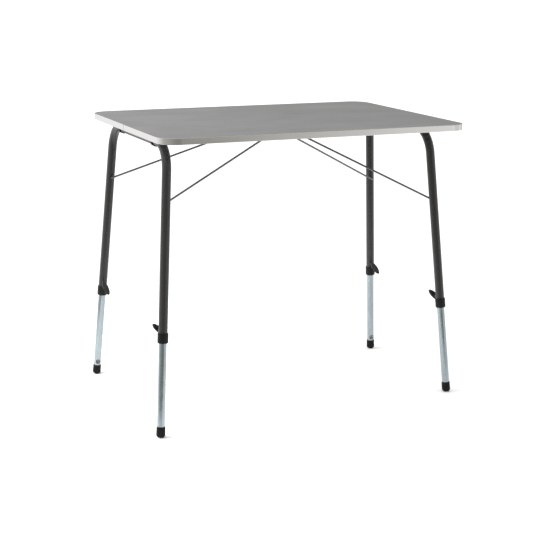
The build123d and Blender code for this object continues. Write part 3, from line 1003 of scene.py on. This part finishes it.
def studio_world():
    """Soft white surround, brighter on the left, with a dim room in front of the table near the horizon.

    The room's level follows the turn from straight in front, atan2(x, -y), by one table below the horizon
    and by another at it, and fades out with height, apart from a flag that stands in front. Mirrors see a
    dimmer ceiling, and the camera sees plain white.
    """
    world = bpy.data.worlds.new("studio")
    world.use_nodes = True
    tree = world.node_tree
    heading = put(tree, "ShaderNodeTexCoord").outputs["Generated"]
    parts = put(tree, "ShaderNodeSeparateXYZ", {0: heading}).outputs
    level = spread(tree, parts["X"], SKY_LEFT, SKY_RIGHT, -1.0, 1.0)
    turn = worked(tree, "ARCTAN2", parts["X"], worked(tree, "MULTIPLY", parts["Y"], -1.0))
    share = spread(tree, turn, 0.0, 1.0, -pi, pi)
    risen = between(tree, parts["Z"], *(sin(angle) for angle in ROOM_LOW))
    room = tinted(tree, risen, ramp_of(tree, share, LOW_LEVELS), ramp_of(tree, share, EYE_LEVELS))
    near = between(tree, parts["Z"], *(sin(angle) for angle in ROOM_TOP))
    aside = worked(tree, "ABSOLUTE", worked(tree, "SUBTRACT", turn, FLAG_TURN[0]))
    flag = between(tree, aside, FLAG_TURN[1], FLAG_TURN[1] / 2)
    tint = tinted(tree, worked(tree, "MAXIMUM", near, flag), (1, 1, 1), room)
    rays = put(tree, "ShaderNodeLightPath").outputs
    overhead = between(tree, parts["Z"], *(sin(angle) for angle in CEILING))
    mirrored = worked(tree, "MULTIPLY", overhead, rays["Is Glossy Ray"])
    tint = tinted(tree, mirrored, tint, (CEILING_LEVEL,) * 3)
    background = tree.nodes["Background"]
    tree.links.new(tinted(tree, rays["Is Camera Ray"], tint, (1, 1, 1)), background.inputs["Color"])
    tree.links.new(level, background.inputs["Strength"])
    bpy.context.scene.world = world


def studio_floor(colours):
    """Round pale floor under the table."""
    rim = raised(circle(FLOOR_RADIUS, FLOOR_SIDES)[None] + FLOOR_AT, [0.0])[0]
    floor = new_object("studio_floor", (rim, [list(range(FLOOR_SIDES))]))
    material, _, _ = new_finish("studio_floor", colours.floor, {"Roughness": 0.9})
    floor.data.materials.append(material)


def add_lamp():
    """Square soft lamp on the left, which mirrors don't show."""
    light = bpy.data.lights.new("left", "AREA")
    light.size = LAMP_SIZE
    light.energy = LAMP_POWER
    lamp = added("left", light)
    turn = (Vector(LAMP_AT) - Vector(LAMP_TOWARDS)).to_track_quat("Z", "Y")
    lamp.matrix_world = Matrix.Translation(LAMP_AT) @ turn.to_matrix().to_4x4()
    lamp.visible_glossy = False


def build_stage(colours):
    """Pale floor, soft light and the camera."""
    scene = bpy.context.scene
    scene.view_settings.view_transform = "Standard"
    studio_floor(colours)
    studio_world()
    add_lamp()

    lens = bpy.data.cameras.new("camera")
    lens.lens = CAMERA_LENS
    lens.clip_end = CAMERA_REACH
    camera = added("camera", lens)
    turn = Matrix.Rotation(-CAMERA_YAW, 4, "Z") @ Matrix.Rotation(pi / 2 - CAMERA_PITCH, 4, "X")
    camera.matrix_world = Matrix.Translation(CAMERA_AT) @ turn @ Matrix.Rotation(CAMERA_ROLL, 4, "Z")
    scene.camera = camera


def chosen(context):
    """Sizes and colours that hang on the scene."""
    return context.scene.table_sizes, context.scene.table_colours


class TABLE_OT_board(bpy.types.Operator):
    """Finish the laminate board"""

    bl_idname = "table.board"
    bl_label = "Board"

    def execute(self, context):
        dress("tabletop_board", finish(laminate, context.scene.table_colours))
        return {"FINISHED"}


class TABLE_OT_edge(bpy.types.Operator):
    """Make the strip round the board"""

    bl_idname = "table.edge"
    bl_label = "Edge strip"

    def execute(self, context):
        build_edge(*chosen(context))
        return {"FINISHED"}


class TABLE_OT_leg_frames(bpy.types.Operator):
    """Make the two bent leg frames"""

    bl_idname = "table.leg_frames"
    bl_label = "Leg frames"

    def execute(self, context):
        for side in SIDES:
            build_leg_frame(side, *chosen(context))
        return {"FINISHED"}


class TABLE_OT_clips(bpy.types.Operator):
    """Make the pivot clips and every screw in the underside"""

    bl_idname = "table.clips"
    bl_label = "Clips and screws"

    def execute(self, context):
        for leg in LEGS:
            build_clip(leg, *chosen(context))
        build_screws(*chosen(context))
        return {"FINISHED"}


class TABLE_OT_stays(bpy.types.Operator):
    """Make the wire stays and finish their catches"""

    bl_idname = "table.stays"
    bl_label = "Stays"

    def execute(self, context):
        for side in SIDES:
            build_stay(side, *chosen(context))
            dress(f"{side}_stay_catch", finish(moulded_plastic, context.scene.table_colours))
        return {"FINISHED"}


class TABLE_OT_collars(bpy.types.Operator):
    """Make the collars and finish their threaded sleeves"""

    bl_idname = "table.collars"
    bl_label = "Collars"

    def execute(self, context):
        for leg in LEGS:
            build_collar(leg, *chosen(context))
            dress(f"{leg}_clamp_insert", finish(turned_brass, context.scene.table_colours))
        return {"FINISHED"}


class TABLE_OT_clamps(bpy.types.Operator):
    """Make the clamp screws and wing knobs"""

    bl_idname = "table.clamps"
    bl_label = "Clamps"

    def execute(self, context):
        for leg in LEGS:
            build_clamp(leg, *chosen(context))
        return {"FINISHED"}


class TABLE_OT_inner_legs(bpy.types.Operator):
    """Make the telescopic zinc legs"""

    bl_idname = "table.inner_legs"
    bl_label = "Inner legs"

    def execute(self, context):
        for leg in LEGS:
            build_inner_leg(leg, *chosen(context))
        return {"FINISHED"}


class TABLE_OT_feet(bpy.types.Operator):
    """Make the rubber feet"""

    bl_idname = "table.feet"
    bl_label = "Feet"

    def execute(self, context):
        for leg in LEGS:
            build_foot(leg, *chosen(context))
        return {"FINISHED"}


class TABLE_OT_stage(bpy.types.Operator):
    """Set the floor, the light and the camera"""

    bl_idname = "table.stage"
    bl_label = "Stage"

    def execute(self, context):
        build_stage(context.scene.table_colours)
        return {"FINISHED"}


OPERATORS = (
    TABLE_OT_board,
    TABLE_OT_edge,
    TABLE_OT_leg_frames,
    TABLE_OT_clips,
    TABLE_OT_stays,
    TABLE_OT_collars,
    TABLE_OT_clamps,
    TABLE_OT_inner_legs,
    TABLE_OT_feet,
    TABLE_OT_stage,
)


class TABLE_PT_looks(bpy.types.Panel):
    """Every step of the table's looks"""

    bl_label = "Camping table"
    bl_space_type = "VIEW_3D"
    bl_region_type = "UI"
    bl_category = "Table"

    def draw(self, context):
        for operator in OPERATORS:
            self.layout.operator(operator.bl_idname)


CLASSES = (TableSizes, TableColours, *OPERATORS, TABLE_PT_looks)


def register():
    """Register the classes and hang the sizes and colours on the scene."""
    for entry in CLASSES:
        bpy.utils.register_class(entry)
    bpy.types.Scene.table_sizes = PointerProperty(type=TableSizes)
    bpy.types.Scene.table_colours = PointerProperty(type=TableColours)


def unregister():
    """Undo register."""
    del bpy.types.Scene.table_sizes
    del bpy.types.Scene.table_colours
    for entry in reversed(CLASSES):
        bpy.utils.unregister_class(entry)


def main():
    """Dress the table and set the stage."""
    register()
    bpy.ops.table.board()
    bpy.ops.table.edge()
    bpy.ops.table.leg_frames()
    bpy.ops.table.clips()
    bpy.ops.table.stays()
    bpy.ops.table.collars()
    bpy.ops.table.clamps()
    bpy.ops.table.inner_legs()
    bpy.ops.table.feet()
    bpy.ops.table.stage()


if __name__ == "__main__":
    main()
